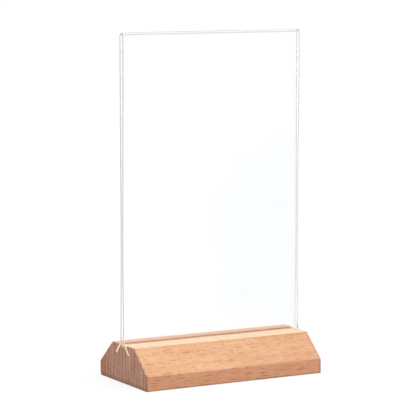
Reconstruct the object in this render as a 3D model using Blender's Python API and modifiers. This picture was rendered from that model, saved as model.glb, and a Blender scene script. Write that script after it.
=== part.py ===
"""Acrylic sign holder: one clear sheet, folded over into a pocket, that slides endwise into a solid beech base.

Metres, +Z up. X runs along the base, Y from its front to its back, and the origin is the middle of its underside.
The sheet comes down as two upright walls. Their feet bend outwards and fill two slanted kerfs in the top of the base.
"""

import math

import bmesh
import bpy
from mathutils import Euler, Vector

# Wooden base
BASE_LENGTH = 0.104
BASE_DEPTH = 0.0525
BASE_HEIGHT = 0.020
FOOT_HEIGHT = 0.0076
TOP_FLAT_DEPTH = 0.024
ARRIS_WIDTH = 0.0005
BACK_FOOT_ROUNDING = 0.0018

# Folded sheet: its rises are measured from the top of the base
SHEET_THICKNESS = 0.0012
PANEL_OVERHANG = 0.0005
PANEL_RISE = 0.1608
FOLD_INNER_RADIUS = 0.0010
WAIST_RISE = 0.046
WAIST_GAP = 0.0006
FOOT_GAP = 0.0017
FOOT_BEND_RADIUS = 0.0032
LEG_ANGLE = math.radians(45)
LEG_DEPTH = 0.0043
EDGE_BREAK = 0.00015

# Fit of the sheet in its kerfs
KERF_SIDE_CLEARANCE = 0.0003
KERF_END_CLEARANCE = 0.0004

# How finely the round stretches are drawn
FOLD_STEPS = 8
BEND_STEPS = 6
UPPER_WALL_STEPS = 14
LOWER_WALL_STEPS = 8
ROUNDING_SEGMENTS = 3

# The sheet's edges that turn by more than this are cut edges, and are broken
CUT_EDGE_ANGLE = math.radians(60)

# How far a cutter runs past the wood
CUTTER_OVERRUN = 0.003

# Points closer than this are one point
WELD_DISTANCE = 0.00001

# Worked out from the sizes above
PANEL_WIDTH = BASE_LENGTH + 2 * PANEL_OVERHANG
FOLD_MIDDLE_RADIUS = FOLD_INNER_RADIUS + SHEET_THICKNESS / 2
BEND_MIDDLE_RADIUS = FOOT_BEND_RADIUS + SHEET_THICKNESS / 2
WAIST_OFFSET = (WAIST_GAP + SHEET_THICKNESS) / 2
FOOT_OFFSET = (FOOT_GAP + SHEET_THICKNESS) / 2
FOLD_CENTRE_RISE = PANEL_RISE - SHEET_THICKNESS / 2 - FOLD_MIDDLE_RADIUS
BEND_START_RISE = BEND_MIDDLE_RADIUS * math.sin(LEG_ANGLE)
LEG_START_OFFSET = FOOT_OFFSET + BEND_MIDDLE_RADIUS * (1 - math.cos(LEG_ANGLE))
LEG_LENGTH = LEG_DEPTH / math.cos(LEG_ANGLE)
KERF_WIDTH = SHEET_THICKNESS + 2 * KERF_SIDE_CLEARANCE


def clear_scene():
    for existing in list(bpy.data.objects):
        bpy.data.objects.remove(existing)


def new_collection(name):
    collection = bpy.data.collections.new(name)
    bpy.context.scene.collection.children.link(collection)
    return collection


def principled(name, colour, roughness, metallic=0.0, transmission=0.0, ior=1.5):
    material = bpy.data.materials.new(name)
    material.use_nodes = True
    shader = material.node_tree.nodes["Principled BSDF"]
    shader.inputs["Base Color"].default_value = (*colour, 1.0)
    shader.inputs["Roughness"].default_value = roughness
    shader.inputs["Metallic"].default_value = metallic
    shader.inputs["Transmission Weight"].default_value = transmission
    shader.inputs["IOR"].default_value = ior
    return material


def beech():
    return principled("beech", colour=(0.74, 0.44, 0.26), roughness=0.55)


def clear_acrylic():
    return principled("clear_acrylic", colour=(0.97, 0.98, 0.98), roughness=0.03, transmission=1.0, ior=1.49)


def object_from(bm, name, collection):
    mesh = bpy.data.meshes.new(name)
    bm.to_mesh(mesh)
    bm.free()
    made = bpy.data.objects.new(name, mesh)
    collection.objects.link(made)
    return made


def saw_off_slope(bm, side):
    """Saws one long upper corner off the block, from the edge of the top flat down to the upright foot."""
    run = (BASE_DEPTH - TOP_FLAT_DEPTH) / 2
    drop = BASE_HEIGHT - FOOT_HEIGHT
    cut = bmesh.ops.bisect_plane(
        bm,
        geom=bm.verts[:] + bm.edges[:] + bm.faces[:],
        plane_co=(0, side * TOP_FLAT_DEPTH / 2, BASE_HEIGHT),
        plane_no=(0, side * drop, run),
        clear_outer=True,
    )
    sawn = [piece for piece in cut["geom_cut"] if isinstance(piece, bmesh.types.BMEdge)]
    bmesh.ops.holes_fill(bm, edges=sawn)


def weigh_arrises(bm):
    """Gives every edge the small arris break, and the lower back edge its larger rounding."""
    widest = max(ARRIS_WIDTH, BACK_FOOT_ROUNDING)
    weight = bm.edges.layers.float.new("bevel_weight_edge")
    for edge in bm.edges:
        middle = (edge.verts[0].co + edge.verts[1].co) / 2
        at_back_foot = middle.y > BASE_DEPTH / 2 - WELD_DISTANCE and middle.z < WELD_DISTANCE
        edge[weight] = (BACK_FOOT_ROUNDING if at_back_foot else ARRIS_WIDTH) / widest
    return widest


def leg_point(side, along):
    """A point of a leg's middle line: along is the distance from the mouth of its kerf, down the slant."""
    return Vector((
        0,
        side * (LEG_START_OFFSET + along * math.sin(LEG_ANGLE)),
        BASE_HEIGHT - along * math.cos(LEG_ANGLE),
    ))


def kerf_cutter(side, collection):
    """A slanted slab on the leg's own middle line, wider than the sheet by the clearance on both faces."""
    lowest = LEG_LENGTH + KERF_END_CLEARANCE
    highest = -CUTTER_OVERRUN
    bm = bmesh.new()
    bmesh.ops.create_cube(bm, size=1.0)
    bmesh.ops.scale(
        bm,
        vec=(BASE_LENGTH + 2 * CUTTER_OVERRUN, KERF_WIDTH, lowest - highest),
        verts=bm.verts,
    )
    cutter = object_from(bm, "kerf_cutter_front" if side < 0 else "kerf_cutter_back", collection)
    cutter.location = leg_point(side, (lowest + highest) / 2)
    cutter.rotation_euler = Euler((side * LEG_ANGLE, 0, 0))
    cutter.hide_render = True
    cutter.display_type = "WIRE"
    return cutter


def wooden_base(parts, cutters):
    """The block, sawn to its section, with its arrises broken and a kerf milled for each leg of the sheet."""
    bm = bmesh.new()
    bmesh.ops.create_cube(bm, size=1.0)
    bmesh.ops.scale(bm, vec=(BASE_LENGTH, BASE_DEPTH, BASE_HEIGHT), verts=bm.verts)
    bmesh.ops.translate(bm, vec=(0, 0, BASE_HEIGHT / 2), verts=bm.verts)
    for side in (-1, 1):
        saw_off_slope(bm, side)
    widest = weigh_arrises(bm)
    base = object_from(bm, "wooden_base", parts)
    base.data.materials.append(beech())

    rounding = base.modifiers.new("Arrises", "BEVEL")
    rounding.limit_method = "WEIGHT"
    rounding.width = widest
    rounding.segments = ROUNDING_SEGMENTS
    for side in (-1, 1):
        cut = base.modifiers.new("Kerf", "BOOLEAN")
        cut.operation = "DIFFERENCE"
        cut.solver = "EXACT"
        cut.object = kerf_cutter(side, cutters)
    return base


def eased(start, end, share):
    """A value between start and end that leaves both without a kink."""
    return start + (end - start) * (1 - math.cos(math.pi * share)) / 2


def fold_points():
    """Offset and rise along the front half of the fold, from its crest down to the wall."""
    for step in range(FOLD_STEPS + 1):
        turn = math.pi / 2 * step / FOLD_STEPS
        yield FOLD_MIDDLE_RADIUS * math.sin(turn), FOLD_CENTRE_RISE + FOLD_MIDDLE_RADIUS * math.cos(turn)


def wall_points():
    """The bowed wall: it draws in from the fold to the waist and opens again towards the foot."""
    for step in range(1, UPPER_WALL_STEPS + 1):
        share = step / UPPER_WALL_STEPS
        rise = FOLD_CENTRE_RISE + (WAIST_RISE - FOLD_CENTRE_RISE) * share
        yield eased(FOLD_MIDDLE_RADIUS, WAIST_OFFSET, share), rise
    for step in range(1, LOWER_WALL_STEPS + 1):
        share = step / LOWER_WALL_STEPS
        rise = WAIST_RISE + (BEND_START_RISE - WAIST_RISE) * share
        yield eased(WAIST_OFFSET, FOOT_OFFSET, share), rise


def foot_points():
    """The bend at the foot, which ends in the mouth of the kerf, and the end of the straight leg."""
    for step in range(1, BEND_STEPS + 1):
        turn = LEG_ANGLE * step / BEND_STEPS
        offset = FOOT_OFFSET + BEND_MIDDLE_RADIUS * (1 - math.cos(turn))
        yield offset, BEND_START_RISE - BEND_MIDDLE_RADIUS * math.sin(turn)
    end = leg_point(1, LEG_LENGTH)
    yield end.y, end.z - BASE_HEIGHT


def sheet_middle():
    """Offset and rise of the sheet's middle line, from the crest of the fold to the end of one leg."""
    return [*fold_points(), *wall_points(), *foot_points()]


def acrylic_panel(parts):
    """The folded sheet: its front half as an open surface, mirrored at the crest and given its thickness."""
    bm = bmesh.new()
    row = [bm.verts.new((-PANEL_WIDTH / 2, -offset, rise)) for offset, rise in sheet_middle()]
    line = [bm.edges.new(pair) for pair in zip(row, row[1:])]
    swept = bmesh.ops.extrude_edge_only(bm, edges=line)["geom"]
    moved = [piece for piece in swept if isinstance(piece, bmesh.types.BMVert)]
    bmesh.ops.translate(bm, vec=(PANEL_WIDTH, 0, 0), verts=moved)
    bmesh.ops.recalc_face_normals(bm, faces=bm.faces)
    panel = object_from(bm, "acrylic_panel", parts)
    panel.location = (0, 0, BASE_HEIGHT)
    panel.data.materials.append(clear_acrylic())
    panel.data.shade_smooth()

    halves = panel.modifiers.new("Back half", "MIRROR")
    halves.use_axis = (False, True, False)
    halves.merge_threshold = WELD_DISTANCE
    wall = panel.modifiers.new("Sheet thickness", "SOLIDIFY")
    wall.thickness = SHEET_THICKNESS
    wall.offset = 0
    wall.use_even_offset = True
    edges = panel.modifiers.new("Cut edges", "BEVEL")
    edges.limit_method = "ANGLE"
    edges.angle_limit = CUT_EDGE_ANGLE
    edges.width = EDGE_BREAK
    edges.segments = 1
    edges.harden_normals = True
    return panel


def main():
    clear_scene()
    parts = new_collection("acrylic_sign_holder")
    cutters = new_collection("cutters")
    wooden_base(parts, cutters)
    acrylic_panel(parts)


main()
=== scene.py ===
"""Looks of an acrylic sign holder: one clear folded sheet that stands in two kerfs of a solid beech base.

Lengths are metres, and a name that ends in _mm is in millimetres. X runs along the base, Y from its front to
its back, and Z is up. The origin is the middle of the base's underside.
"""
import logging
import math
from collections.abc import Iterator
from dataclasses import dataclass
from enum import Enum
from typing import Any

import bmesh
import bpy
from mathutils import Matrix, Vector


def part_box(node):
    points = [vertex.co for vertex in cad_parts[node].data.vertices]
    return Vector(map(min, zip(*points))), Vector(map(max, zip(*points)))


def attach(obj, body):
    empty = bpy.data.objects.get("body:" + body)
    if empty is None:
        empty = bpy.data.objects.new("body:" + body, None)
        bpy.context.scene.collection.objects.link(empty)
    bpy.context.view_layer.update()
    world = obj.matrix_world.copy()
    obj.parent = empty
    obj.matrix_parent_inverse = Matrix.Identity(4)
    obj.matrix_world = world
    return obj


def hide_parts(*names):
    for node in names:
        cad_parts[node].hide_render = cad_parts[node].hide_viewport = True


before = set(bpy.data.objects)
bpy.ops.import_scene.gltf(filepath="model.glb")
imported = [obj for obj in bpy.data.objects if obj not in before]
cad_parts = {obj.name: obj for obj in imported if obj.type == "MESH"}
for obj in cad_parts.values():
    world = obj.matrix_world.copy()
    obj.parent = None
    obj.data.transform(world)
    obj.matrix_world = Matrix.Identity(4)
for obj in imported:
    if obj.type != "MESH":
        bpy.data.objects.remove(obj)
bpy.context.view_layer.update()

MM = 0.001
LOG = logging.getLogger("sign_holder")

Colour = tuple[float, float, float, float]
Sizes = tuple[float, float, float]
Point = tuple[float, float]

# A node's inputs: each one's name or index, with its value or what feeds it
Inputs = dict[int | str, Any]

# What feeds an input: one output, or a whole node, which stands for its first output in use
Source = bpy.types.NodeSocket | bpy.types.Node

# A node's outputs, by name
Outputs = bpy.types.bpy_prop_collection

# The colour inputs of a Mix node, which share their names with its number and vector inputs
MIX_A = 6
MIX_B = 7

# The setting that makes a Map Range node follow a Ramp
EASED = {"interpolation_type": "SMOOTHSTEP"}

# Halfway between two whole values, to tell one from the other
HALFWAY = 0.5

# The middle of a noise's colour
NOISE_MIDDLE = (0.5, 0.5, 0.5)

# A band texture of scale 1 repeats every tenth of pi
BAND_PERIOD = math.pi / 10

# The block's attribute that holds a PaintedTone value on each face: painted shade, none or painted light
PAINTED_KERF_TONE = "painted_kerf_tone"

# Enough for light to run along inside the sheet from end to end
LIGHT_BOUNCES = 64


class Side(Enum):
    """The long sides of the holder, as the sign of Y."""

    FRONT = -1
    BACK = 1


class PaintedTone(Enum):
    """A face's painted tone, shade or light or none, as the value of the mesh attribute that the wood reads.
    """

    PAINTED_SHADE = -1.0
    OILED = 0.0
    PAINTED_LIGHT = 1.0


class Piece(Enum):
    """The pieces, each as its own name, the CAD node it stands for, its body and its material slot."""

    BASE = ("solid_beech_base", "wooden_base", "base", "beech")
    PANEL = ("folded_acrylic_panel", "acrylic_panel", "panel", "clear_acrylic")

    @property
    def title(self) -> str:
        """The piece's own name."""
        return self.value[0]

    def place(self, made: bpy.types.Object) -> None:
        """Hands a finished piece to the frame.

        Args:
            made: the piece, with its place in its mesh.
        """
        _, node, body, slot = self.value
        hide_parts(node)
        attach(made, body)
        LOG.info("%s: %d faces, rides on %s", made.name, len(made.data.polygons), body)


@dataclass(frozen=True)
class Ramp:
    """Turns a value from low..high into start..end, eased at both ends and level past them."""

    low: float
    high: float
    start: float = 0.0
    end: float = 1.0

    def of(self, value: Source) -> Inputs:
        """Lists what a Map Range node takes to turn a value so.

        Args:
            value: what feeds the value.

        Returns:
            The node's inputs.
        """
        return {
            "Value": value,
            "From Min": self.low,
            "From Max": self.high,
            "To Min": self.start,
            "To Max": self.end,
        }


def linear(hex_colour: str) -> Colour:
    """Turns an sRGB colour into the linear values that a shader takes, by the curve of the sRGB standard.

    Args:
        hex_colour: the colour as "#RRGGBB".

    Returns:
        Red, green, blue and an alpha of 1.
    """
    shown = (int(hex_colour[i:i + 2], 16) / 255 for i in (1, 3, 5))
    red, green, blue = (v / 12.92 if v <= 0.04045 else ((v + 0.055) / 1.055) ** 2.4 for v in shown)
    return red, green, blue, 1.0


def add_node(
    tree: bpy.types.NodeTree, kind: str, inputs: Inputs | None = None, **settings: Any
) -> bpy.types.Node:
    """Adds one node, sets its properties, and fills or links its inputs.

    Args:
        tree: the node tree that the node joins.
        kind: the node's type, such as "ShaderNodeMix".
        inputs: what feeds the node's inputs, where they aren't left at Blender's own values.
        settings: the node's own properties, such as its operation.

    Returns:
        The new node.
    """
    node = tree.nodes.new(kind)
    for name, value in settings.items():
        setattr(node, name, value)
    for key, value in (inputs or {}).items():
        if isinstance(value, bpy.types.Node):
            value = next(output for output in value.outputs if output.enabled)
        if isinstance(value, bpy.types.NodeSocket):
            tree.links.new(value, node.inputs[key])
        else:
            node.inputs[key].default_value = value
    return node


def new_material(name: str) -> bpy.types.Material:
    """Makes a material with an empty node tree.

    Args:
        name: the material's name.

    Returns:
        The material.
    """
    material = bpy.data.materials.new(name)
    material.use_nodes = True
    material.node_tree.nodes.clear()
    return material


def place_in_mm(tree: bpy.types.NodeTree) -> tuple[Source, Source]:
    """Gives a material its place on the piece.

    Args:
        tree: the material's tree.

    Returns:
        The place in millimetres and the surface's direction, both in the piece's own frame.
    """
    texture = add_node(tree, "ShaderNodeTexCoord").outputs
    scaled = add_node(
        tree, "ShaderNodeVectorMath", {0: texture["Object"], "Scale": 1 / MM}, operation="SCALE"
    )
    return scaled, texture["Normal"]


def streaks(tree: bpy.types.NodeTree, place: Source, size_mm: Sizes, detail: float) -> Source:
    """Draws smooth random marks of one size along each axis.

    Args:
        tree: the material's tree.
        place: the place in millimetres.
        size_mm: the marks' typical length along X, Y and Z.
        detail: how many finer layers are added.

    Returns:
        A value around a half, mostly between 0.3 and 0.7.
    """
    cell = add_node(tree, "ShaderNodeVectorMath", {0: place, 1: size_mm}, operation="DIVIDE")
    return add_node(tree, "ShaderNodeTexNoise", {"Vector": cell, "Scale": 1.0, "Detail": detail})


def link_object(name: str, content: bpy.types.ID) -> bpy.types.Object:
    """Puts a mesh, curve or camera into the scene.

    Args:
        name: the object's name.
        content: what the object holds.

    Returns:
        The new object, at the origin.
    """
    made = bpy.data.objects.new(name, content)
    bpy.context.scene.collection.objects.link(made)
    return made


def settled(source: bpy.types.Object, name: str) -> bpy.types.Object:
    """Turns an object with modifiers into a plain mesh object, and removes the source.

    Args:
        source: the object, at the origin.
        name: the plain object's name.

    Returns:
        The plain object.
    """
    graph = bpy.context.evaluated_depsgraph_get()
    mesh = bpy.data.meshes.new_from_object(source.evaluated_get(graph))
    bpy.data.objects.remove(source)
    mesh.name = name
    return link_object(name, mesh)


@dataclass(frozen=True)
class Fleck:
    """One size of fleck: the wood that may hold one, how much of it shows none, and how dark a fleck is."""

    cell_mm: Sizes
    bare: float
    share: float
    smallest: float = 0.05
    largest: float = 0.5

    @property
    def reach(self) -> Ramp:
        """How far a fleck reaches from its middle, in cells, by its cell's random number."""
        return Ramp(self.bare, 1.0, self.smallest, self.largest)


@dataclass(frozen=True)
class OiledBeech:
    """Steamed beech, planed, sanded and thinly oiled: warm and pale, low in sheen, flecked along the grain.

    The year rings stand upright, parallel to the block's long sides. So the long faces show the ends of the
    rays as short dark flecks, and the sawn ends show the rings as upright stripes. The feet are ruddy
    heartwood. The top is painted pale in front, a painted light, and darker behind the panel, a painted
    shade.
    The front kerf is painted pale, a painted light. The back kerf and the ridge between the kerfs are painted
    dark, a painted shade, which gives way to painted light near the ends and on the ridge's top on the sawn
    ends. The lowest edges are painted darker, a painted contact shade.
    """

    pale: str = "#E6B78E"
    patch: str = "#D9A27A"
    # The top's cream front is painted light, and its tan back is painted shade
    cream: str = "#EFCB9F"
    tan: str = "#DCA87E"
    ruddy: str = "#EAAC86"
    # The front kerf's pale colour is painted light, and the back kerf's dark colour is painted shade
    painted_light: str = "#FFE6CC"
    painted_kerf_shade: str = "#C07530"
    ring_tint: str = "#FBF6F1"
    fibre_tint: str = "#F3E6DA"
    fleck: str = "#B06A18"
    end_pale: str = "#DEB9A0"
    end_deep: str = "#A2543A"
    end_red: str = "#C98A66"
    # The colour of the painted contact shade along the lowest edges
    contact_shade: str = "#6E4A38"

    # The sizes of the grain and its marks, along X, Y and Z where there are three. Real pores and fibres are
    # about 0.1 mm wide, too fine to show, so they are drawn four times as coarse
    wander_cell_mm: Sizes = (34.0, 30.0, 22.0)
    wander_mm: Sizes = (0.0, 2.0, 0.9)
    ring_mm: float = 3.3
    ring_waviness: float = 0.7
    ring_patch_mm: Sizes = (120.0, 2.4, 40.0)
    fibre_mm: Sizes = (4.5, 0.45, 0.4)
    tone_mm: Sizes = (40.0, 14.0, 9.0)
    pore_mm: Sizes = (1.5, 0.42, 0.45)
    end_line_mm: Sizes = (90.0, 0.55, 18.0)
    large_fleck: Fleck = Fleck((8.0, 0.36, 0.34), bare=0.75, share=0.95)
    fine_fleck: Fleck = Fleck((3.2, 0.32, 0.28), bare=0.3, share=0.56)
    long_fleck: Fleck = Fleck((9.0, 0.44, 0.4), bare=0.5, share=0.65)

    # Where each colour starts, by the face's direction or by the place
    faces_end: Ramp = Ramp(0.6, 0.95)
    faces_out: Ramp = Ramp(0.5, 0.2)
    faces_up: Ramp = Ramp(0.86, 0.96)
    near_end_mm: Ramp = Ramp(50.9, 51.5, 0.0, 0.7)
    patch_along_mm: Ramp = Ramp(-20.0, 60.0, 0.0, 0.5)
    # Where the top's painted shade starts, behind the panel
    painted_shade_behind_mm: Ramp = Ramp(-2.0, 2.0)
    red_across_mm: Ramp = Ramp(14.0, 24.0, 0.0, 0.7)
    # Where the kerfs' painted shade gives way to painted light near the ends, and where the ridge's top on
    # the sawn ends is painted light
    ends_light_along_mm: Ramp = Ramp(49.5, 51.2)
    ridge_light_across_mm: Ramp = Ramp(2.6, 2.3)
    ridge_light_height_mm: Ramp = Ramp(18.7, 19.2, 0.0, 0.8)
    # How high the painted contact shade reaches, all round and on the sawn ends
    contact_shade_height_mm: Ramp = Ramp(0.9, 0.2, 0.0, 0.5)
    end_contact_shade_height_mm: Ramp = Ramp(3.2, 0.0, 0.0, 0.45)

    # How strongly the marks show
    late_wood: Ramp = Ramp(0.4, 0.95)
    ring_strength: Ramp = Ramp(0.3, 0.65, 0.5, 1.0)
    fibre_shown: Ramp = Ramp(0.4, 0.7)
    patch_shown: Ramp = Ramp(0.35, 0.68, 0.0, 0.5)
    pore_shown: Ramp = Ramp(0.42, 0.66)
    end_line_shown: Ramp = Ramp(0.35, 0.65)
    fleck_rim: Ramp = Ramp(1.0, 0.65)
    fine_share_on_foot: float = 0.32
    painted_light_share: float = 0.9
    end_ring_share: float = 0.3
    end_pore_share: float = 0.6
    end_line_share: float = 0.38

    # How the surface takes light
    relief_mm: float = 0.02
    relief_strength: float = 0.2
    roughness: float = 0.28
    end_roughness: float = 0.7
    ior: float = 1.5

    def material(self) -> bpy.types.Material:
        """Builds the wood.

        Returns:
            The material.
        """
        material = new_material("oiled_beech")
        tree = material.node_tree
        place, direction = place_in_mm(tree)
        grain = self._wandering(tree, place)
        rings = self._rings(tree, grain)
        fibre = streaks(tree, grain, self.fibre_mm, detail=3.0)
        facing = add_node(tree, "ShaderNodeSeparateXYZ", {0: direction}).outputs
        spot = add_node(tree, "ShaderNodeSeparateXYZ", {0: place}).outputs
        along = add_node(tree, "ShaderNodeMath", {0: spot["X"]}, operation="ABSOLUTE")
        at_end = self._at_end(tree, facing["X"], along)
        at_foot = add_node(tree, "ShaderNodeMapRange", self.faces_out.of(facing["Z"]), **EASED)
        on_top = add_node(tree, "ShaderNodeMapRange", self.faces_up.of(facing["Z"]), **EASED)

        flecks = self._all_flecks(tree, grain, at_foot)
        ground = self._ground(tree, spot, grain, at_foot, on_top)
        side = self._marked(tree, ground, rings, fibre, flecks)
        side = self._kerf_colour(tree, along, side)
        sawn_end = self._end_colour(tree, grain, rings)
        # The ridge's top on the sawn ends is painted light
        layers = {0: self._ridge_light(tree, spot), MIX_A: sawn_end, MIX_B: linear(self.painted_light)}
        sawn_end = add_node(tree, "ShaderNodeMix", layers, data_type="RGBA")
        unshaded = add_node(tree, "ShaderNodeMix", {0: at_end, MIX_A: side, MIX_B: sawn_end}, data_type="RGBA")
        # Painted contact shade: the wood is darker towards the bottom
        low = add_node(tree, "ShaderNodeMapRange", self.contact_shade_height_mm.of(spot["Z"]), **EASED)
        colour = self._contact_shaded(tree, unshaded, spot["Z"], low, at_end)

        relief = add_node(tree, "ShaderNodeMath", {0: flecks, 1: fibre}, operation="ADD")
        bump = add_node(
            tree,
            "ShaderNodeBump",
            {"Height": relief, "Strength": self.relief_strength, "Distance": self.relief_mm * MM},
            invert=True,
        )
        dry = add_node(tree, "ShaderNodeMath", {0: at_end, 1: low}, operation="MAXIMUM")
        dullness = Ramp(0.0, self.contact_shade_height_mm.end, self.roughness, self.end_roughness)
        rough = add_node(tree, "ShaderNodeMapRange", dullness.of(dry), **EASED)
        shader = add_node(
            tree,
            "ShaderNodeBsdfPrincipled",
            {"Base Color": colour, "Roughness": rough, "Normal": bump, "IOR": self.ior},
        )
        add_node(tree, "ShaderNodeOutputMaterial", {"Surface": shader})
        return material

    def _at_end(self, tree: bpy.types.NodeTree, facing_x: Source, along: Source) -> Source:
        """Finds the sawn ends, with the narrow margin of the long faces that has soaked up oil through them.

        Args:
            tree: the material's tree.
            facing_x: how far the face looks along X.
            along: the distance along the block from its middle, in millimetres.

        Returns:
            1 on the ends.
        """
        margin = add_node(tree, "ShaderNodeMapRange", self.near_end_mm.of(along), **EASED)
        sideways = add_node(tree, "ShaderNodeMath", {0: facing_x}, operation="ABSOLUTE")
        sawn = add_node(tree, "ShaderNodeMapRange", self.faces_end.of(sideways), **EASED)
        return add_node(tree, "ShaderNodeMath", {0: sawn, 1: margin}, operation="MAXIMUM")

    def _wandering(self, tree: bpy.types.NodeTree, place: Source) -> Source:
        """Bends the straight grain a little, as a tree grows.

        Args:
            tree: the material's tree.
            place: the place in millimetres.

        Returns:
            The place along the bent grain.
        """
        cell = add_node(tree, "ShaderNodeVectorMath", {0: place, 1: self.wander_cell_mm}, operation="DIVIDE")
        noise = add_node(tree, "ShaderNodeTexNoise", {"Vector": cell, "Scale": 1.0, "Detail": 3.0})
        bend = add_node(
            tree, "ShaderNodeVectorMath", {0: noise.outputs["Color"], 1: self.wander_mm}, operation="MULTIPLY"
        )
        return add_node(tree, "ShaderNodeVectorMath", {0: place, 1: bend}, operation="ADD")

    def _rings(self, tree: bpy.types.NodeTree, grain: Source) -> Source:
        """Draws the year rings as upright layers across Y, each of its own strength.

        Args:
            tree: the material's tree.
            grain: the place along the grain.

        Returns:
            0 in the pale early wood, 1 in the dark late wood.
        """
        bands = add_node(
            tree,
            "ShaderNodeTexWave",
            {
                "Vector": grain,
                "Scale": BAND_PERIOD / self.ring_mm,
                "Distortion": self.ring_waviness,
                "Detail": 2.0,
            },
            bands_direction="Y",
        ).outputs
        late = add_node(tree, "ShaderNodeMapRange", self.late_wood.of(bands["Fac"]), **EASED)
        uneven = streaks(tree, grain, self.ring_patch_mm, detail=2.0)
        strength = add_node(tree, "ShaderNodeMapRange", self.ring_strength.of(uneven), **EASED)
        return add_node(tree, "ShaderNodeMath", {0: late, 1: strength}, operation="MULTIPLY")

    def _flecks(self, tree: bpy.types.NodeTree, grain: Source, fleck: Fleck) -> Source:
        """Draws the ends of rays: a lens-shaped mark of random size in each cell, too small to show in many.

        Args:
            tree: the material's tree.
            grain: the place along the grain.
            fleck: the size of fleck.

        Returns:
            1 in a mark and 0 between them.
        """
        cell = add_node(tree, "ShaderNodeVectorMath", {0: grain, 1: fleck.cell_mm}, operation="DIVIDE")
        cells = add_node(tree, "ShaderNodeTexVoronoi", {"Vector": cell, "Scale": 1.0}).outputs
        chance = add_node(tree, "ShaderNodeSeparateColor", {0: cells["Color"]})
        reach = add_node(tree, "ShaderNodeMapRange", fleck.reach.of(chance), **EASED)
        depth = add_node(tree, "ShaderNodeMath", {0: cells["Distance"], 1: reach}, operation="DIVIDE")
        return add_node(tree, "ShaderNodeMapRange", self.fleck_rim.of(depth), **EASED)

    def _all_flecks(self, tree: bpy.types.NodeTree, grain: Source, at_foot: Source) -> Source:
        """Lays the three sizes of fleck over each other.

        The long ones show on the feet alone, and the fine ones are fainter there.

        Args:
            tree: the material's tree.
            grain: the place along the grain.
            at_foot: 1 on the upright feet.

        Returns:
            How dark the flecks are, from 0 to 1.
        """
        large = self._flecks(tree, grain, self.large_fleck)
        large = add_node(tree, "ShaderNodeMath", {0: large, 1: self.large_fleck.share}, operation="MULTIPLY")
        fading = Ramp(0.0, 1.0, self.fine_fleck.share, self.fine_share_on_foot)
        fine_share = add_node(tree, "ShaderNodeMapRange", fading.of(at_foot), **EASED)
        fine = self._flecks(tree, grain, self.fine_fleck)
        fine = add_node(tree, "ShaderNodeMath", {0: fine, 1: fine_share}, operation="MULTIPLY")
        long = self._flecks(tree, grain, self.long_fleck)
        long = add_node(tree, "ShaderNodeMath", {0: long, 1: self.long_fleck.share}, operation="MULTIPLY")
        long = add_node(tree, "ShaderNodeMath", {0: long, 1: at_foot}, operation="MULTIPLY")
        short = add_node(tree, "ShaderNodeMath", {0: large, 1: fine}, operation="MAXIMUM")
        return add_node(tree, "ShaderNodeMath", {0: short, 1: long}, operation="MAXIMUM")

    def _ground(
        self,
        tree: bpy.types.NodeTree,
        spot: Outputs,
        grain: Source,
        at_foot: Source,
        on_top: Source,
    ) -> Source:
        """Colours the long faces under their marks: patchy slopes, ruddy feet, and a top painted cream in
        front, a painted light, and tan behind the panel, a painted shade.

        Args:
            tree: the material's tree.
            spot: the place in millimetres, as its X, Y and Z.
            grain: the place along the grain.
            at_foot: 1 on the upright feet.
            on_top: 1 on the flat top.

        Returns:
            The colour.
        """
        tone = streaks(tree, grain, self.tone_mm, detail=2.0)
        tone = add_node(tree, "ShaderNodeMapRange", self.patch_shown.of(tone), **EASED)
        along = add_node(tree, "ShaderNodeMapRange", self.patch_along_mm.of(spot["X"]), **EASED)
        patches = add_node(tree, "ShaderNodeMath", {0: tone, 1: along}, operation="ADD")
        layers = {0: patches, MIX_A: linear(self.pale), MIX_B: linear(self.patch)}
        slope = add_node(tree, "ShaderNodeMix", layers, data_type="RGBA")
        # Painted light in front of the panel and painted shade behind it, on the top
        behind = add_node(tree, "ShaderNodeMapRange", self.painted_shade_behind_mm.of(spot["Y"]), **EASED)
        layers = {0: behind, MIX_A: linear(self.cream), MIX_B: linear(self.tan)}
        top = add_node(tree, "ShaderNodeMix", layers, data_type="RGBA")
        above = add_node(tree, "ShaderNodeMix", {0: on_top, MIX_A: slope, MIX_B: top}, data_type="RGBA")
        layers = {0: at_foot, MIX_A: above, MIX_B: linear(self.ruddy)}
        return add_node(tree, "ShaderNodeMix", layers, data_type="RGBA")

    def _marked(
        self, tree: bpy.types.NodeTree, ground: Source, rings: Source, fibre: Source, flecks: Source
    ) -> Source:
        """Draws the rings, fibres and flecks over the long faces' colour.

        Args:
            tree: the material's tree.
            ground: the colour under the marks.
            rings: the year rings.
            fibre: the fibres' marks.
            flecks: how dark the flecks are.

        Returns:
            The colour.
        """
        layers = {0: rings, MIX_A: ground, MIX_B: linear(self.ring_tint)}
        ringed = add_node(tree, "ShaderNodeMix", layers, data_type="RGBA", blend_type="MULTIPLY")
        shown = add_node(tree, "ShaderNodeMapRange", self.fibre_shown.of(fibre), **EASED)
        layers = {0: shown, MIX_A: ringed, MIX_B: linear(self.fibre_tint)}
        fibrous = add_node(tree, "ShaderNodeMix", layers, data_type="RGBA", blend_type="MULTIPLY")
        layers = {0: flecks, MIX_A: fibrous, MIX_B: linear(self.fleck)}
        return add_node(tree, "ShaderNodeMix", layers, data_type="RGBA")

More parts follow.
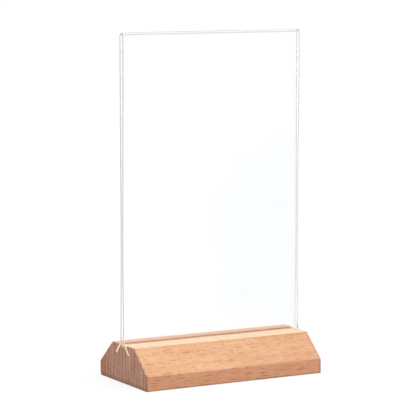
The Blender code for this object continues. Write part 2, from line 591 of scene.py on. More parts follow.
    def _kerf_colour(self, tree: bpy.types.NodeTree, along: Source, oiled: Source) -> Source:
        """Colours the kerfs, and the ridge between them, over the oiled wood.

        The front kerf gets painted light. The back kerf and the ridge get painted shade, which gives way to
        painted light near the block's ends.

        Args:
            tree: the material's tree.
            along: the distance along the block from its middle, in millimetres.
            oiled: the oiled wood's colour.

        Returns:
            The colour.
        """
        # Painted light on the front kerf, and painted shade on the back kerf and the ridge, which turns to
        # painted light near the ends
        sawn = add_node(tree, "ShaderNodeAttribute", attribute_name=PAINTED_KERF_TONE).outputs["Fac"]
        painted_light = add_node(tree, "ShaderNodeMath", {0: sawn, 1: HALFWAY}, operation="GREATER_THAN")
        painted_kerf_shade = add_node(tree, "ShaderNodeMath", {0: sawn, 1: -HALFWAY}, operation="LESS_THAN")
        toward_ends = add_node(tree, "ShaderNodeMapRange", self.ends_light_along_mm.of(along), **EASED)
        lit_near_ends = add_node(tree, "ShaderNodeMath", {0: painted_kerf_shade, 1: toward_ends}, operation="MULTIPLY")
        pale = add_node(tree, "ShaderNodeMath", {0: painted_light, 1: lit_near_ends}, operation="MAXIMUM")
        pale = add_node(tree, "ShaderNodeMath", {0: pale, 1: self.painted_light_share}, operation="MULTIPLY")
        layers = {0: pale, MIX_A: oiled, MIX_B: linear(self.painted_light)}
        colour = add_node(tree, "ShaderNodeMix", layers, data_type="RGBA")
        away_from_ends = add_node(tree, "ShaderNodeMath", {0: 1.0, 1: toward_ends}, operation="SUBTRACT")
        kerf_shade_share = add_node(tree, "ShaderNodeMath", {0: painted_kerf_shade, 1: away_from_ends}, operation="MULTIPLY")
        layers = {0: kerf_shade_share, MIX_A: colour, MIX_B: linear(self.painted_kerf_shade)}
        return add_node(tree, "ShaderNodeMix", layers, data_type="RGBA")

    def _ridge_light(self, tree: bpy.types.NodeTree, spot: Outputs) -> Source:
        """Finds the ridge's top on the sawn ends, which gets painted light.

        Args:
            tree: the material's tree.
            spot: the place in millimetres, as its X, Y and Z.

        Returns:
            How much painted light it gets, from 0 to 1.
        """
        across = add_node(tree, "ShaderNodeMath", {0: spot["Y"]}, operation="ABSOLUTE")
        in_middle = add_node(tree, "ShaderNodeMapRange", self.ridge_light_across_mm.of(across), **EASED)
        high = add_node(tree, "ShaderNodeMapRange", self.ridge_light_height_mm.of(spot["Z"]), **EASED)
        return add_node(tree, "ShaderNodeMath", {0: in_middle, 1: high}, operation="MULTIPLY")

    def _end_colour(self, tree: bpy.types.NodeTree, grain: Source, rings: Source) -> Source:
        """Colours the sawn ends, where the open pores drink the oil and darken the rings, redder to the back.

        Args:
            tree: the material's tree.
            grain: the place along the grain.
            rings: the year rings.

        Returns:
            The colour.
        """
        pores = streaks(tree, grain, self.pore_mm, detail=2.0)
        pores = add_node(tree, "ShaderNodeMapRange", self.pore_shown.of(pores), **EASED)
        lines = streaks(tree, grain, self.end_line_mm, detail=1.0)
        lines = add_node(tree, "ShaderNodeMapRange", self.end_line_shown.of(lines), **EASED)
        dark = add_node(tree, "ShaderNodeMath", {0: rings, 1: self.end_ring_share}, operation="MULTIPLY")
        pores = add_node(tree, "ShaderNodeMath", {0: pores, 1: self.end_pore_share}, operation="MULTIPLY")
        dark = add_node(tree, "ShaderNodeMath", {0: dark, 1: pores}, operation="ADD")
        lines = add_node(tree, "ShaderNodeMath", {0: lines, 1: self.end_line_share}, operation="MULTIPLY")
        dark = add_node(tree, "ShaderNodeMath", {0: dark, 1: lines}, operation="ADD")
        across = add_node(tree, "ShaderNodeSeparateXYZ", {0: grain}).outputs["Y"]
        red = add_node(tree, "ShaderNodeMapRange", self.red_across_mm.of(across), **EASED)
        layers = {0: red, MIX_A: linear(self.end_pale), MIX_B: linear(self.end_red)}
        pale = add_node(tree, "ShaderNodeMix", layers, data_type="RGBA")
        layers = {0: dark, MIX_A: pale, MIX_B: linear(self.end_deep)}
        return add_node(tree, "ShaderNodeMix", layers, data_type="RGBA")

    def _contact_shaded(
        self, tree: bpy.types.NodeTree, unshaded: Source, height: Source, low: Source, at_end: Source
    ) -> Source:
        """Paints a contact shade over the wood's lowest edges, and higher up on the open end grain, darker
        towards the bottom.

        Args:
            tree: the material's tree.
            unshaded: the wood's colour before the painted contact shade.
            height: the height in millimetres.
            low: the painted contact shade all round the block.
            at_end: 1 on the sawn ends.

        Returns:
            The colour.
        """
        low_end = add_node(tree, "ShaderNodeMapRange", self.end_contact_shade_height_mm.of(height), **EASED)
        low_end = add_node(tree, "ShaderNodeMath", {0: low_end, 1: at_end}, operation="MULTIPLY")
        contact_shade_share = add_node(tree, "ShaderNodeMath", {0: low, 1: low_end}, operation="MAXIMUM")
        layers = {0: contact_shade_share, MIX_A: unshaded, MIX_B: linear(self.contact_shade)}
        return add_node(tree, "ShaderNodeMix", layers, data_type="RGBA")


@dataclass(frozen=True)
class ClearAcrylic:
    """Cast acrylic sheet, polished as it came from its mould: colourless, glossy, with the faintest ripple.

    The right half, towards X, has a painted reflection: a trace of pale blue, almost too faint to see.
    """

    tint: str = "#FFFFFF"
    # The painted reflection's pale blue, and where it lies
    reflection_tint: str = "#FCFDFE"
    reflection_along_mm: Ramp = Ramp(-13.0, 13.0, 0.0, 0.8)
    reflection_above_mm: Ramp = Ramp(20.0, 44.0)
    reflection_below_mm: Ramp = Ramp(132.0, 98.0)
    reflection_wander_mm: Sizes = (50.0, 0.0, 90.0)
    reflection_cell_mm: Sizes = (38.0, 38.0, 38.0)
    ripple_mm: Sizes = (14.0, 14.0, 14.0)
    ripple_height_mm: float = 0.05
    ripple_strength: float = 0.1
    haze_mm: Sizes = (30.0, 30.0, 30.0)
    haze: Ramp = Ramp(0.4, 0.7, 0.0, 0.012)
    ior: float = 1.49

    def material(self) -> bpy.types.Material:
        """Builds the clear faces.

        Returns:
            The material.
        """
        material = new_material("clear_cast_acrylic")
        tree = material.node_tree
        place, _ = place_in_mm(tree)
        bump = add_node(
            tree,
            "ShaderNodeBump",
            {
                "Height": streaks(tree, place, self.ripple_mm, detail=1.0),
                "Strength": self.ripple_strength,
                "Distance": self.ripple_height_mm * MM,
            },
        )
        haze = streaks(tree, place, self.haze_mm, detail=3.0)
        haze = add_node(tree, "ShaderNodeMapRange", self.haze.of(haze), **EASED)
        # The painted reflection tints the right half pale blue
        layers = {0: self._painted_reflection(tree, place), MIX_A: linear(self.tint), MIX_B: linear(self.reflection_tint)}
        tint = add_node(tree, "ShaderNodeMix", layers, data_type="RGBA")
        shader = add_node(
            tree,
            "ShaderNodeBsdfPrincipled",
            {
                "Base Color": tint,
                "Roughness": haze,
                "IOR": self.ior,
                "Transmission Weight": 1.0,
                "Normal": bump,
            },
        )
        add_node(tree, "ShaderNodeOutputMaterial", {"Surface": shader})
        return material

    def _painted_reflection(self, tree: bpy.types.NodeTree, place: Source) -> Source:
        """Finds where the painted pale blue reflection lies, with a soft and cloudy outline.

        Args:
            tree: the material's tree.
            place: the place in millimetres.

        Returns:
            How much of it there is, from 0 to 1.
        """
        cell = add_node(tree, "ShaderNodeVectorMath", {0: place, 1: self.reflection_cell_mm}, operation="DIVIDE")
        noise = add_node(tree, "ShaderNodeTexNoise", {"Vector": cell, "Scale": 1.0, "Detail": 2.0})
        cloud = add_node(
            tree, "ShaderNodeVectorMath", {0: noise.outputs["Color"], 1: NOISE_MIDDLE}, operation="SUBTRACT"
        )
        moved = add_node(
            tree,
            "ShaderNodeVectorMath",
            {0: cloud, 1: self.reflection_wander_mm, 2: place},
            operation="MULTIPLY_ADD",
        )
        spot = add_node(tree, "ShaderNodeSeparateXYZ", {0: moved}).outputs
        along = add_node(tree, "ShaderNodeMapRange", self.reflection_along_mm.of(spot["X"]), **EASED)
        above = add_node(tree, "ShaderNodeMapRange", self.reflection_above_mm.of(spot["Z"]), **EASED)
        below = add_node(tree, "ShaderNodeMapRange", self.reflection_below_mm.of(spot["Z"]), **EASED)
        upright = add_node(tree, "ShaderNodeMath", {0: above, 1: below}, operation="MULTIPLY")
        return add_node(tree, "ShaderNodeMath", {0: along, 1: upright}, operation="MULTIPLY")


@dataclass(frozen=True)
class SawnAcrylic:
    """The sheet's cut edges, sawn and scraped but not polished: satin, and partly white with fine scratches.

    The cut edges have a painted glow, an emission for the light that a clear sheet gathers over its whole
    height and lets out at its cut edges. It is strongest on the ends of the legs, which stand before dark
    wood. One foot bend is painted dark grey, a painted shade.
    """

    name: str = "sawn_acrylic_edge"
    tint: str = "#FFFFFF"
    clear_share: float = 0.65
    # A painted glow: emission that stands in for the light the sheet gathers
    glow: float = 0.04
    ior: float = 1.49
    rough: Ramp = Ramp(0.3, 0.7, 0.52, 0.58)
    # Real saw lines are 0.2 mm apart, too fine to show, so they are drawn four times as coarse
    saw_line_mm: Sizes = (4.0, 4.0, 0.8)
    saw_line_depth_mm: float = 0.02
    saw_line_strength: float = 0.04
    # The dark grey of the painted shade on one foot bend, and where it lies
    bend_shade: str = "#38342F"
    bend_shade_share: float = 0.95
    bend_shade_along_mm: Ramp = Ramp(0.0, 1.0)
    bend_shade_across_mm: Ramp = Ramp(0.0, -0.5)
    bend_shade_above_mm: Ramp = Ramp(19.8, 20.2)
    bend_shade_below_mm: Ramp = Ramp(23.5, 21.8)

    def material(self) -> bpy.types.Material:
        """Builds the satin edges.

        Returns:
            The material.
        """
        material = new_material(self.name)
        tree = material.node_tree
        place, _ = place_in_mm(tree)
        lines = streaks(tree, place, self.saw_line_mm, detail=2.0)
        bump = add_node(
            tree,
            "ShaderNodeBump",
            {
                "Height": lines,
                "Strength": self.saw_line_strength,
                "Distance": self.saw_line_depth_mm * MM,
            },
        )
        rough = add_node(tree, "ShaderNodeMapRange", self.rough.of(lines), **EASED)
        # The right front foot bend is painted dark grey, a painted shade
        bend_shaded = self._shaded_bend(tree, place)
        layers = {0: bend_shaded, MIX_A: linear(self.tint), MIX_B: linear(self.bend_shade)}
        tint = add_node(tree, "ShaderNodeMix", layers, data_type="RGBA")
        unshaded = add_node(tree, "ShaderNodeMath", {0: 1.0, 1: bend_shaded}, operation="SUBTRACT")
        clear = add_node(tree, "ShaderNodeMath", {0: unshaded, 1: self.clear_share}, operation="MULTIPLY")
        shader = add_node(
            tree,
            "ShaderNodeBsdfPrincipled",
            {
                "Base Color": tint,
                "Roughness": rough,
                "IOR": self.ior,
                "Transmission Weight": clear,
                "Normal": bump,
                # The emission is a painted glow
                "Emission Color": linear(self.tint),
                "Emission Strength": self.glow,
            },
        )
        add_node(tree, "ShaderNodeOutputMaterial", {"Surface": shader})
        return material

    def _shaded_bend(self, tree: bpy.types.NodeTree, place: Source) -> Source:
        """Finds the front foot bend at the right-hand end, which is painted dark grey, a painted shade.

        Args:
            tree: the material's tree.
            place: the place in millimetres.

        Returns:
            How strong the painted shade is, from 0 to 1.
        """
        spot = add_node(tree, "ShaderNodeSeparateXYZ", {0: place}).outputs
        at_right = add_node(tree, "ShaderNodeMapRange", self.bend_shade_along_mm.of(spot["X"]), **EASED)
        in_front = add_node(tree, "ShaderNodeMapRange", self.bend_shade_across_mm.of(spot["Y"]), **EASED)
        above = add_node(tree, "ShaderNodeMapRange", self.bend_shade_above_mm.of(spot["Z"]), **EASED)
        below = add_node(tree, "ShaderNodeMapRange", self.bend_shade_below_mm.of(spot["Z"]), **EASED)
        bend = add_node(tree, "ShaderNodeMath", {0: above, 1: below}, operation="MULTIPLY")
        end = add_node(tree, "ShaderNodeMath", {0: at_right, 1: in_front}, operation="MULTIPLY")
        bend_shaded = add_node(tree, "ShaderNodeMath", {0: bend, 1: end}, operation="MULTIPLY")
        return add_node(tree, "ShaderNodeMath", {0: bend_shaded, 1: self.bend_shade_share}, operation="MULTIPLY")


@dataclass(frozen=True)
class FoldedSheet:
    """The sheet's middle line, folded and bent: Y is from the pocket's middle, and Z from the table."""

    crest: float
    wood_top: float
    thickness: float = 1.2 * MM
    fold_inner_radius: float = 1.0 * MM
    waist_rise: float = 46.0 * MM
    waist_gap: float = 0.6 * MM
    foot_gap: float = 1.7 * MM
    foot_bend_radius: float = 3.2 * MM
    leg_angle: float = math.radians(45)
    leg_depth: float = 4.3 * MM
    fold_steps: int = 24
    bend_steps: int = 16
    upper_wall_steps: int = 48
    lower_wall_steps: int = 24

    @property
    def fold_radius(self) -> float:
        """The fold's radius on the sheet's middle line."""
        return self.fold_inner_radius + self.thickness / 2

    @property
    def bend_radius(self) -> float:
        """The foot bend's radius on the sheet's middle line."""
        return self.foot_bend_radius + self.thickness / 2

    @property
    def foot_offset(self) -> float:
        """How far a wall stands from the pocket's middle where its foot bend starts."""
        return (self.foot_gap + self.thickness) / 2

    @property
    def bend_start(self) -> float:
        """The height at which a wall starts to bend outwards."""
        return self.wood_top + self.bend_radius * math.sin(self.leg_angle)

    @property
    def leg_length(self) -> float:
        """The straight leg's length down its slant."""
        return self.leg_depth / math.cos(self.leg_angle)

    def leg_point(self, side: Side, along: float, across: float = 0.0) -> Point:
        """A point in the plane of one leg's section.

        Args:
            side: which leg.
            along: the distance from the wood's top, down the leg's middle line.
            across: the distance from that line, away from the pocket and up.

        Returns:
            Its Y and Z.
        """
        sine = math.sin(self.leg_angle)
        cosine = math.cos(self.leg_angle)
        start = self.foot_offset + self.bend_radius * (1 - cosine)
        return (
            side.value * (start + along * sine + across * cosine),
            self.wood_top - along * cosine + across * sine,
        )

    def half_line(self) -> Iterator[Point]:
        """Follows the middle line from the crest down the back wall to the end of its leg.

        Yields:
            Y and Z of each point.
        """
        centre = self.crest - self.thickness / 2 - self.fold_radius
        crown = (self.fold_radius, centre)
        waist = ((self.waist_gap + self.thickness) / 2, self.wood_top + self.waist_rise)
        foot = (self.foot_offset, self.bend_start)
        for step in range(self.fold_steps + 1):
            turn = math.pi / 2 * step / self.fold_steps
            yield self.fold_radius * math.sin(turn), centre + self.fold_radius * math.cos(turn)
        yield from self._bowed(crown, waist, self.upper_wall_steps)
        yield from self._bowed(waist, foot, self.lower_wall_steps)
        for step in range(1, self.bend_steps + 1):
            turn = self.leg_angle * step / self.bend_steps
            offset = self.foot_offset + self.bend_radius * (1 - math.cos(turn))
            yield offset, self.bend_start - self.bend_radius * math.sin(turn)
        yield self.leg_point(Side.BACK, self.leg_length)

    @staticmethod
    def _bowed(start: Point, end: Point, steps: int) -> Iterator[Point]:
        """Follows a stretch of wall that leaves both its ends upright.

        Args:
            start: Y and Z of its upper end, which isn't given again.
            end: Y and Z of its lower end.
            steps: how many points it takes.

        Yields:
            Y and Z of each point.
        """
        for step in range(1, steps + 1):
            share = step / steps
            eased = (1 - math.cos(math.pi * share)) / 2
            yield start[0] + (end[0] - start[0]) * eased, start[1] + (end[1] - start[1]) * share

    def line(self) -> list[Point]:
        """Follows the whole middle line, from the front leg's end over the fold to the back leg's.

        Returns:
            Y and Z of each point.
        """
        back = list(self.half_line())
        front = [(-y, z) for y, z in back[1:]]
        return front[::-1] + back


@dataclass
class AcrylicPanel:
    """The pocket: one clear sheet, swept along its folded line by a node tree."""

    width: float
    sheet: FoldedSheet
    edge_break: float = 0.15 * MM
    crease_angle: float = math.radians(12)

    def build(self) -> bpy.types.Object:
        """Makes the panel.

        Returns:
            The finished piece.
        """
        # The leg ends are painted warm white, with a stronger painted glow, for the light from the wood round
        # them
        leg_end = SawnAcrylic("sawn_acrylic_leg_end", tint="#FFE0CA", clear_share=0.2, glow=0.28)
        line = self._line_curve()
        sweep = line.modifiers.new("Sweep", "NODES")
        sweep.node_group = self._sweep_tree()
        given = {
            "Panel Width": self.width,
            "Sheet Thickness": self.sheet.thickness,
            "Edge Break": self.edge_break,
            "Faces": ClearAcrylic().material(),
            "Wood Top": self.sheet.wood_top,
            "Cut Edges": SawnAcrylic().material(),
            "Leg Ends": leg_end.material(),
        }
        for item in sweep.node_group.interface.items_tree:
            if item.name in given:
                sweep[item.identifier] = given[item.name]
        panel = settled(line, Piece.PANEL.title)
        panel.data.shade_smooth()
        panel.data.set_sharp_from_angle(angle=self.crease_angle)
        return panel

    def _line_curve(self) -> bpy.types.Object:
        """Draws the folded line as a curve of straight steps.

        Returns:
            The curve's object.
        """
        points = self.sheet.line()
        curve = bpy.data.curves.new("folded_line", "CURVE")
        curve.dimensions = "3D"
        spline = curve.splines.new("POLY")
        spline.points.add(len(points) - 1)
        for point, (y, z) in zip(spline.points, points):
            point.co = (0.0, y, z, 1.0)
        return link_object("folded_line", curve)

    def _sweep_tree(self) -> bpy.types.NodeTree:
        """Builds the tree that gives the line its width, thickness, broken edges and finishes.

        Returns:
            The tree.
        """
        tree = bpy.data.node_groups.new("sheet_along_line", "GeometryNodeTree")
        sockets = tree.interface
        sockets.new_socket("Line", in_out="INPUT", socket_type="NodeSocketGeometry")
        for name in ("Panel Width", "Sheet Thickness", "Edge Break", "Wood Top"):
            sockets.new_socket(name, in_out="INPUT", socket_type="NodeSocketFloat")
        for name in ("Faces", "Cut Edges", "Leg Ends"):
            sockets.new_socket(name, in_out="INPUT", socket_type="NodeSocketMaterial")
        sockets.new_socket("Sheet", in_out="OUTPUT", socket_type="NodeSocketGeometry")

        given = add_node(tree, "NodeGroupInput").outputs
        section = add_node(
            tree,
            "GeometryNodeCurvePrimitiveQuadrilateral",
            {"Width": given["Panel Width"], "Height": given["Sheet Thickness"]},
        )
        broken = add_node(
            tree,
            "GeometryNodeFilletCurve",
            {"Curve": section, "Count": 1, "Radius": given["Edge Break"]},
            mode="POLY",
        )
        upright = add_node(
            tree,
            "GeometryNodeSetCurveNormal",
            {"Curve": given["Line"], "Normal": (1.0, 0.0, 0.0)},
            mode="FREE",
        )
        swept = add_node(
            tree, "GeometryNodeCurveToMesh", {"Curve": upright, "Profile Curve": broken, "Fill Caps": True}
        )
        polished = add_node(tree, "GeometryNodeSetMaterial", {"Geometry": swept, "Material": given["Faces"]})
        normal = add_node(tree, "GeometryNodeInputNormal")
        facing = add_node(tree, "ShaderNodeSeparateXYZ", {0: normal}).outputs
        place = add_node(tree, "GeometryNodeInputPosition")
        spot = add_node(tree, "ShaderNodeSeparateXYZ", {0: place}).outputs
        at_edge = self._at_edge(tree, facing, spot)
        sawn = add_node(
            tree,
            "GeometryNodeSetMaterial",
            {"Geometry": polished, "Selection": at_edge, "Material": given["Cut Edges"]},
        )
        in_wood = add_node(
            tree, "ShaderNodeMath", {0: spot["Z"], 1: given["Wood Top"]}, operation="LESS_THAN"
        )
        at_leg_end = add_node(tree, "ShaderNodeMath", {0: at_edge, 1: in_wood}, operation="MULTIPLY")
        legs = add_node(
            tree,
            "GeometryNodeSetMaterial",
            {"Geometry": sawn, "Selection": at_leg_end, "Material": given["Leg Ends"]},
        )
        real = add_node(tree, "GeometryNodeRealizeInstances", {"Geometry": legs})
        add_node(tree, "NodeGroupOutput", {0: real})
        return tree

    @staticmethod
    def _at_edge(tree: bpy.types.NodeTree, facing: Outputs, spot: Outputs) -> Source:
        """Finds the sheet's cut edges: its sides, and the tips of its legs, which look down and outwards.

        Args:
            tree: the sweep's tree.
            facing: the direction that a face looks in, as its X, Y and Z.
            spot: the face's place, as its X, Y and Z.

        Returns:
            1 on the edges.
        """
        sideways = add_node(tree, "ShaderNodeMath", {0: facing["X"]}, operation="ABSOLUTE")
        sideways = add_node(tree, "ShaderNodeMath", {0: sideways, 1: HALFWAY}, operation="GREATER_THAN")
        outwards = add_node(tree, "ShaderNodeMath", {0: facing["Y"], 1: spot["Y"]}, operation="MULTIPLY")
        outwards = add_node(tree, "ShaderNodeMath", {0: outwards, 1: 0.0}, operation="GREATER_THAN")
        down = add_node(tree, "ShaderNodeMath", {0: facing["Z"], 1: -HALFWAY}, operation="LESS_THAN")
        at_tip = add_node(tree, "ShaderNodeMath", {0: down, 1: outwards}, operation="MULTIPLY")
        return add_node(tree, "ShaderNodeMath", {0: sideways, 1: at_tip}, operation="MAXIMUM")


@dataclass(frozen=True)
class Corner:
    """A corner of the block's section, with the radius that rounds it and its painted tone."""

    y: float
    z: float
    radius: float
    face: PaintedTone = PaintedTone.OILED

    def arc(self, before: "Corner", after: "Corner", steps: int) -> Iterator[Point]:
        """Rounds the corner, whichever way it turns.

        Args:
            before: the corner before it on the outline.
            after: the corner after it.
            steps: how many straight steps the arc takes.

        Yields:
            Y and Z of each point.
        """
        here = Vector((self.y, self.z))
        back = (Vector((before.y, before.z)) - here).normalized()
        ahead = (Vector((after.y, after.z)) - here).normalized()
        half = back.angle(ahead) / 2
        centre = here + (back + ahead).normalized() * (self.radius / math.sin(half))
        reach = self.radius / math.tan(half)
        start = here + back * reach - centre
        end = here + ahead * reach - centre
        turn = math.pi - 2 * half
        for step in range(steps + 1):
            turned = turn * step / steps
            spoke = start * math.sin(turn - turned) + end * math.sin(turned)
            point = centre + spoke / math.sin(turn)
            yield point.x, point.y


@dataclass
class BeechBase:
    """The block: a solid bar with upright feet, two slopes and a flat top with a kerf for each leg."""

    length: float
    depth: float
    height: float
    sheet: FoldedSheet
    foot_height: float = 7.6 * MM
    top_flat_depth: float = 24.0 * MM
    arris: float = 0.5 * MM
    back_foot_rounding: float = 1.8 * MM
    kerf_lip: float = 0.14 * MM
    kerf_corner: float = 0.1 * MM
    end_break: float = 0.12 * MM
    kerf_touch: float = 0.05 * MM
    kerf_slack: float = 0.3 * MM
    kerf_end_clearance: float = 0.25 * MM
    arc_steps: int = 5
    crease_angle: float = math.radians(30)

    def build(self) -> bpy.types.Object:
        """Makes the block.

        Returns:
            The finished piece.
        """
        outline, faces = zip(*self._outline())
        bm = bmesh.new()
        painted_kerf_tone = bm.faces.layers.float.new(PAINTED_KERF_TONE)
        rings = [
            [bm.verts.new((x, y, z)) for y, z in self._drawn_in(outline, inset)]
            for x, inset in self._stations()
        ]
        for ring, following in zip(rings, rings[1:]):
            for i in range(len(outline)):
                face = bm.faces.new((ring[i - 1], ring[i], following[i], following[i - 1]))
                face[painted_kerf_tone] = faces[i - 1].value
        bm.faces.new(rings[0])
        bm.faces.new(rings[-1])
        bmesh.ops.recalc_face_normals(bm, faces=bm.faces)
        mesh = bpy.data.meshes.new("block")
        bm.to_mesh(mesh)
        bm.free()
        mesh.materials.append(OiledBeech().material())
        mesh.shade_smooth()
        mesh.set_sharp_from_angle(angle=self.crease_angle)
        block = link_object("block", mesh)
        shading = block.modifiers.new("Flat faces stay flat", "WEIGHTED_NORMAL")
        shading.keep_sharp = True
        return settled(block, Piece.BASE.title)

    def _stations(self) -> Iterator[Point]:
        """Steps along the block, with the ends' broken edges.

        Yields:
            X, and how far the outline is drawn in there.
        """
        centre = self.length / 2 - self.end_break
        turns = [math.pi / 2 * step / self.arc_steps for step in range(self.arc_steps + 1)]
        rounded = [
            (centre + self.end_break * math.sin(turn), self.end_break * (1 - math.cos(turn)))
            for turn in turns
        ]
        for x, inset in rounded[::-1]:
            yield -x, inset
        yield from rounded

    def _kerf(self, side: Side) -> list[Corner]:
        """Lists a kerf's corners, from its outer lip round to its inner one.

        Each leg lies close against its kerf's walls, but the front one has a little room on its inner face.

        Args:
            side: which kerf.

        Returns:
            The corners.
        """
        forward = side is Side.FRONT
        # The front kerf gets painted light and the back one painted shade
        face = PaintedTone.PAINTED_LIGHT if forward else PaintedTone.PAINTED_SHADE
        outer = self.sheet.thickness / 2 + self.kerf_touch
        inner = self.sheet.thickness / 2 + (self.kerf_slack if forward else self.kerf_touch)
        floor = self.sheet.leg_length + self.kerf_end_clearance
        slant = math.tan(self.sheet.leg_angle)
        return [
            Corner(*self.sheet.leg_point(side, outer * slant, outer), self.kerf_lip, face),
            Corner(*self.sheet.leg_point(side, floor, outer), self.kerf_corner, face),
            Corner(*self.sheet.leg_point(side, floor, -inner), self.kerf_corner, face),
            Corner(*self.sheet.leg_point(side, -inner * slant, -inner), self.kerf_lip, face),
        ]

    def _outline(self) -> Iterator[tuple[Point, PaintedTone]]:
        """Draws the section once round, from its lower front edge.

        Yields:
            Y and Z of each point, and the painted tone of the face after it.
        """
        out = self.depth / 2
        flat = self.top_flat_depth / 2
        corners = [
            Corner(-out, 0.0, self.arris),
            Corner(out, 0.0, self.back_foot_rounding),
            Corner(out, self.foot_height, self.arris),
            Corner(flat, self.height, self.arris),
            *self._kerf(Side.BACK),
            *self._kerf(Side.FRONT)[::-1],
            Corner(-flat, self.height, self.arris),
            Corner(-out, self.foot_height, self.arris),
        ]
        for i, corner in enumerate(corners):
            following = corners[(i + 1) % len(corners)]
            *rounding, last = corner.arc(corners[i - 1], following, self.arc_steps)
            yield from ((point, corner.face) for point in rounding)
            # The flat after a corner has the corner's own painted tone, unless the next corner is plain oiled
            # wood
            yield last, following.face if following.face is PaintedTone.OILED else corner.face

    @staticmethod
    def _drawn_in(outline: tuple[Point, ...], inset: float) -> Iterator[Point]:
        """Moves an outline inwards by the same amount all round.

        Args:
            outline: Y and Z of its points, with the wood on their left.
            inset: how far it moves.

        Yields:
            Y and Z of each moved point.
        """
        points = [Vector(point) for point in outline]
        for i, point in enumerate(points):
            before = (point - points[i - 1]).normalized()
            after = (points[(i + 1) % len(points)] - point).normalized()
            inward = (before + after).normalized().orthogonal()
            stretch = 1 / math.cos(before.angle(after) / 2)
            moved = point + inward * (inset * stretch)
            yield moved.x, moved.y


@dataclass(frozen=True)
class Studio:
    """A white studio: an even glow overhead, a plain pale floor, and white all round behind the holder."""

    white: str = "#FFFFFF"
    ambient: float = 0.12
    key: float = 2.3
    key_focus: float = 1.8
    key_lean: float = math.radians(12)
    ceiling: str = "#CFD0D2"
    ceiling_rise: Ramp = Ramp(0.3, 0.9)
    floor_size: float = 6.0
    floor_seen: float = 0.8
    floor_bounce: float = 0.42
    floor_whitening: float = 0.8

    def light(self) -> None:
        """Makes the world: what lights the wood, and the white that the clear sheet and the viewer see."""
        world = bpy.data.worlds.new("studio")
        bpy.context.scene.world = world
        world.use_nodes = True
        tree = world.node_tree
        tree.nodes.clear()
        direction = add_node(tree, "ShaderNodeTexCoord").outputs["Object"]
        lit = self._key_light(tree, direction)

        height = add_node(tree, "ShaderNodeSeparateXYZ", {0: direction}).outputs["Z"]
        path = add_node(tree, "ShaderNodeLightPath").outputs
        risen = add_node(tree, "ShaderNodeMapRange", self.ceiling_rise.of(height), **EASED)
        indirect = add_node(tree, "ShaderNodeMath", {0: 1.0, 1: path["Is Camera Ray"]}, operation="SUBTRACT")
        above = add_node(tree, "ShaderNodeMath", {0: risen, 1: indirect}, operation="MULTIPLY")
        layers = {0: above, MIX_A: linear(self.white), MIX_B: linear(self.ceiling)}
        shown = add_node(tree, "ShaderNodeMix", layers, data_type="RGBA")
        seen = add_node(tree, "ShaderNodeBackground", {"Color": shown, "Strength": 1.0})
        surface = add_node(tree, "ShaderNodeMixShader", {0: self._seen(tree, path), 1: lit, 2: seen})
        add_node(tree, "ShaderNodeOutputWorld", {"Surface": surface})

    def _key_light(self, tree: bpy.types.NodeTree, direction: Source) -> Source:
        """Makes the glow that lights the wood: brightest overhead, a little towards the front.

        Args:
            tree: the world's tree.
            direction: the direction that light comes from.

        Returns:
            The light.
        """
        overhead = (0.0, -math.sin(self.key_lean), math.cos(self.key_lean))
        facing = add_node(tree, "ShaderNodeVectorMath", {0: direction, 1: overhead}, operation="DOT_PRODUCT")
        facing = add_node(tree, "ShaderNodeMath", {0: facing, 1: 0.0}, operation="MAXIMUM")
        glow = add_node(tree, "ShaderNodeMath", {0: facing, 1: self.key_focus}, operation="POWER")
        level = add_node(
            tree, "ShaderNodeMath", {0: glow, 1: self.key, 2: self.ambient}, operation="MULTIPLY_ADD"
        )
        return add_node(tree, "ShaderNodeBackground", {"Color": linear(self.white), "Strength": level})

    @staticmethod
    def _seen(tree: bpy.types.NodeTree, path: Outputs) -> Source:
        """Tells what is seen, straight or by a glossy or clear surface, from what only lights a matt one.

        Args:
            tree: the tree.
            path: its Light Path node's outputs.

        Returns:
            1 for what is seen.
        """
        through = add_node(
            tree,
            "ShaderNodeMath",
            {0: path["Is Glossy Ray"], 1: path["Is Transmission Ray"]},
            operation="MAXIMUM",
        )
        direct = add_node(
            tree, "ShaderNodeMath", {0: path["Diffuse Depth"], 1: HALFWAY}, operation="LESS_THAN"
        )
        through = add_node(tree, "ShaderNodeMath", {0: through, 1: direct}, operation="MULTIPLY")
        return add_node(
            tree, "ShaderNodeMath", {0: path["Is Camera Ray"], 1: through}, operation="MAXIMUM"
        )

    def floor(self) -> bpy.types.Object:
        """Makes the floor, which shows white and keeps the holder's soft shadow.

        Returns:
            The floor.
        """
        bm = bmesh.new()
        bmesh.ops.create_grid(bm, x_segments=1, y_segments=1, size=self.floor_size / 2)
        mesh = bpy.data.meshes.new("studio_floor")
        bm.to_mesh(mesh)
        bm.free()
        mesh.materials.append(self._floor_material())
        floor = link_object("studio_floor", mesh)
        return floor

    def _floor_material(self) -> bpy.types.Material:
        """Builds matt white board: even and without sheen, so that it shows nothing but the shadow.

        Returns:
            The material.
        """
        material = new_material("matt_white_board")
        tree = material.node_tree
        seen = self._seen(tree, add_node(tree, "ShaderNodeLightPath").outputs)
        level = add_node(
            tree,
            "ShaderNodeMapRange",
            {"Value": seen, "To Min": self.floor_bounce, "To Max": self.floor_seen},
        )
        board = add_node(tree, "ShaderNodeBsdfDiffuse", {"Color": level})
        white = add_node(tree, "ShaderNodeEmission", {"Color": linear(self.white), "Strength": 1.0})
        share = add_node(
            tree, "ShaderNodeMath", {0: seen, 1: self.floor_whitening}, operation="MULTIPLY"
        )
        surface = add_node(tree, "ShaderNodeMixShader", {0: share, 1: board, 2: white})
        add_node(tree, "ShaderNodeOutputMaterial", {"Surface": surface})
        return material


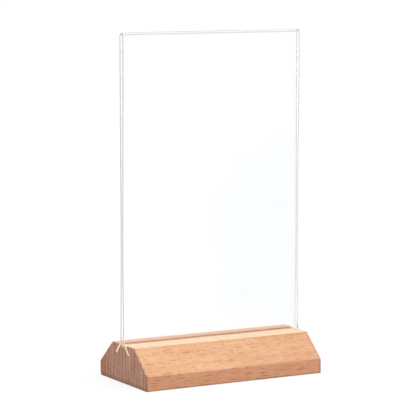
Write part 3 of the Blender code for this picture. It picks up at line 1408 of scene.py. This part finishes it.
@dataclass(frozen=True)
class PhotographCamera:
    """The photograph's view, fitted to the block's corners and the panel's edges in a 400 pixel frame."""

    aim: Sizes = (-6.7 * MM, 0.0, 92.8 * MM)
    distance: float = 1127.5 * MM
    heading: float = math.radians(29.17)
    pitch: float = math.radians(6.66)
    roll: float = math.radians(0.083)
    focal_pixels: float = 2160.1
    frame_pixels: float = 400.0
    sensor_mm: float = 36.0
    nearest: float = 50.0 * MM
    furthest: float = 20.0

    def place(self) -> bpy.types.Object:
        """Makes the scene's camera.

        Returns:
            The camera.
        """
        data = bpy.data.cameras.new("photograph_camera")
        data.sensor_width = self.sensor_mm
        data.lens = self.focal_pixels / self.frame_pixels * self.sensor_mm
        data.clip_start = self.nearest
        data.clip_end = self.furthest
        camera = link_object("photograph_camera", data)
        ahead = Vector((
            math.sin(self.heading) * math.cos(self.pitch),
            math.cos(self.heading) * math.cos(self.pitch),
            -math.sin(self.pitch),
        ))
        level = ahead.to_track_quat("-Z", "Y").to_matrix().to_4x4()
        spot = Matrix.Translation(Vector(self.aim) - ahead * self.distance)
        camera.matrix_world = spot @ level @ Matrix.Rotation(self.roll, 4, "Z")
        bpy.context.scene.camera = camera
        return camera


def set_light_paths() -> None:
    """Lets light run along inside the sheet until it comes out, and shows colours as they are written."""
    scene = bpy.context.scene
    scene.view_settings.view_transform = "Standard"
    # Filter Glossy would blur and darken the wood that is seen through the clear sheet
    scene.cycles.blur_glossy = 0.0
    scene.cycles.max_bounces = LIGHT_BOUNCES
    scene.cycles.glossy_bounces = LIGHT_BOUNCES
    scene.cycles.transmission_bounces = LIGHT_BOUNCES


def main() -> None:
    """Builds the studio, the camera and both pieces, from the CAD parts' sizes, and hands the pieces to the
    frame.
    """
    logging.basicConfig(level=logging.INFO, format="%(name)s: %(message)s")
    set_light_paths()
    studio = Studio()
    studio.light()
    studio.floor()
    PhotographCamera().place()

    wood_low, wood_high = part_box("wooden_base")
    panel_low, panel_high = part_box("acrylic_panel")
    sheet = FoldedSheet(crest=panel_high.z, wood_top=wood_high.z)
    wood = wood_high - wood_low
    base = BeechBase(length=wood.x, depth=wood.y, height=wood.z, sheet=sheet)
    panel = AcrylicPanel(width=panel_high.x - panel_low.x, sheet=sheet)
    Piece.BASE.place(base.build())
    Piece.PANEL.place(panel.build())


if __name__ == "__main__":
    main()
